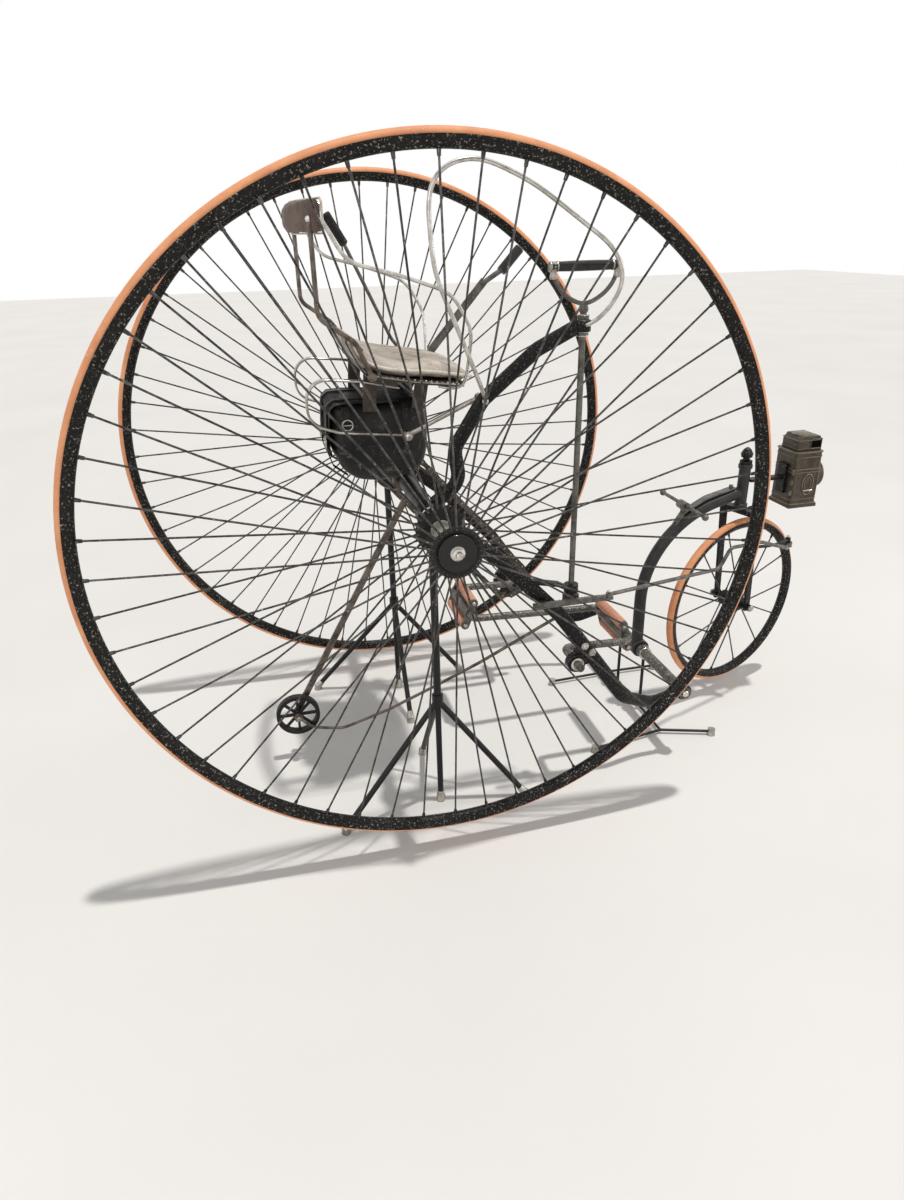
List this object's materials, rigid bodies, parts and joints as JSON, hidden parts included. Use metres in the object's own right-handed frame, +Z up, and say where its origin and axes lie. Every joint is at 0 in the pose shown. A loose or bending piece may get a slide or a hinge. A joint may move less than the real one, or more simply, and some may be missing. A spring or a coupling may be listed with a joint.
{
  "type": "lever-steered high-wheel four-wheeled cycle on display stands",
  "caption": "High-wheel cycle of about 1880 with side-by-side driving wheels, chain drive, rack steering to a small front wheel, sprung seat and display stands.",
  "frame": {"origin": "on the floor under the stands, midway along the length and between the driving wheels", "axes": "+X forward to the steered wheel, +Y to the rider's left, +Z up"},
  "size_m": [1.7262, 0.968, 1.32],
  "materials": {
    "black_enamel": "aged gloss, chipped",
    "stand_black": "satin",
    "worn_nickel": "worn plate",
    "worn_steel": "pitted",
    "dark_spokes": "tarnished",
    "tan_rubber": "matt, aged",
    "red_rubber": "matt, aged",
    "black_grip": "polished horn or ebonite",
    "cast_dark": "rough",
    "seat_leather": "worn, creased",
    "brown_leather": "worn, creased",
    "bag_leather": "satin",
    "board_wood": "stained",
    "lamp_tin": "japanned, worn to bronze",
    "lens_glass": "clear",
    "chain_steel": "oiled"
  },
  "bodies": {
    "frame": {"arm_right": "black_enamel", "arm_left": "black_enamel", "cross_tube": "black_enamel", "backbone": "black_enamel", "footrest": "worn_nickel", "handle_post": "black_enamel", "column_bracket": "black_enamel", "axle_casing": "black_enamel", "brake_band": "worn_steel", "chain": "chain_steel", "tail_stays": "worn_steel", "springs": "worn_nickel", "seat_pad": "seat_leather", "seat_frame": "board_wood", "tool_bag": "bag_leather", "backrest_rods": "worn_nickel", "backrest_pad": "brown_leather", "armrests": "worn_nickel", "brake_post": "black_enamel", "brake_lever": "worn_nickel", "rear_lever": "worn_nickel", "dress_guard": "worn_nickel", "lamp_body": "lamp_tin", "lamp_lens": "lens_glass", "lamp_bracket": "black_enamel", "stand_right": "stand_black", "stand_left": "stand_black", "stand_front": "stand_black"},
    "wheel_right": {"tyre_right": "tan_rubber", "wheel_right": "black_enamel", "hub_right": "worn_nickel"},
    "wheel_left": {"tyre_left": "tan_rubber", "wheel_left": "black_enamel", "hub_left": "worn_nickel"},
    "differential": {"differential": "cast_dark", "brake_drum": "cast_dark"},
    "crank": {"crank_shaft": "worn_steel", "crank_sprocket": "cast_dark"},
    "pedal_right": {"pedal_frame_right": "worn_steel", "pedal_rubbers_right": "red_rubber"},
    "pedal_left": {"pedal_frame_left": "worn_steel", "pedal_rubbers_left": "red_rubber"},
    "fork": {"fork": "black_enamel"},
    "front_wheel": {"tyre_front": "tan_rubber", "wheel_front": "black_enamel"},
    "column": {"steering_column": "worn_nickel", "handle_grip": "black_grip"},
    "rack": {"rack": "worn_nickel"},
    "link": {"steering_link": "worn_nickel"},
    "tail_wheel": {"tail_wheel": "cast_dark"}
  },
  "joints": [
    {"name": "wheel_right_spin", "type": "hinge", "parent": "frame", "child": "wheel_right", "pos_m": [-0.22814, -0.404, 0.685], "axis": [0, 1, 0], "continuous": true},
    {"name": "wheel_left_spin", "type": "hinge", "parent": "frame", "child": "wheel_left", "pos_m": [-0.22814, 0.404, 0.685], "axis": [0, 1, 0], "continuous": true},
    {"name": "crank_spin", "type": "hinge", "parent": "frame", "child": "crank", "pos_m": [0.08826, 0, 0.31059], "axis": [0, 1, 0], "continuous": true},
    {"name": "differential_spin", "type": "hinge", "parent": "frame", "child": "differential", "pos_m": [-0.22814, 0.17, 0.685], "axis": [0, 1, 0], "continuous": true},
    {"name": "pedal_right_spin", "type": "hinge", "parent": "crank", "child": "pedal_right", "pos_m": [0.25311, -0.1, 0.30339], "axis": [0, 1, 0], "continuous": true},
    {"name": "pedal_left_spin", "type": "hinge", "parent": "crank", "child": "pedal_left", "pos_m": [-0.07658, 0.1, 0.31778], "axis": [0, 1, 0], "continuous": true},
    {"name": "steering_head", "type": "hinge", "parent": "frame", "child": "fork", "pos_m": [0.62686, 0, 0.533], "axis": [0, 0, 1], "range_deg": [-36.5, 3.5]},
    {"name": "front_wheel_spin", "type": "hinge", "parent": "fork", "child": "front_wheel", "pos_m": [0.6422, 0.00454, 0.269], "axis": [-0.284, 0.9588, 0], "continuous": true},
    {"name": "rack_slide", "type": "slide", "parent": "frame", "child": "rack", "axis": [1, 0, 0], "range_m": [-0.0588, 0.0061]},
    {"name": "column_turn", "type": "hinge", "parent": "frame", "child": "column", "pos_m": [0.06986, -0.258, 0.471], "axis": [0, 0, 1], "range_deg": [-210, 21]},
    {"name": "link_swing", "type": "hinge", "parent": "rack", "child": "link", "pos_m": [0.14786, -0.2805, 0.471], "axis": [0, 0, 1], "range_deg": [-9.3, 1.2]},
    {"name": "tail_wheel_spin", "type": "hinge", "parent": "frame", "child": "tail_wheel", "pos_m": [-0.51814, 0, 0.122], "axis": [0, 1, 0], "continuous": true}
  ],
  "couplings": [
    {"joint": "differential_spin", "follows": "crank_spin", "ratio": 1},
    {"joint": "rack_slide", "follows": "steering_head", "m_per_rad": 0.0915},
    {"joint": "column_turn", "follows": "steering_head", "ratio": 5.719},
    {"joint": "link_swing", "follows": "steering_head", "ratio": 0.246}
  ]
}
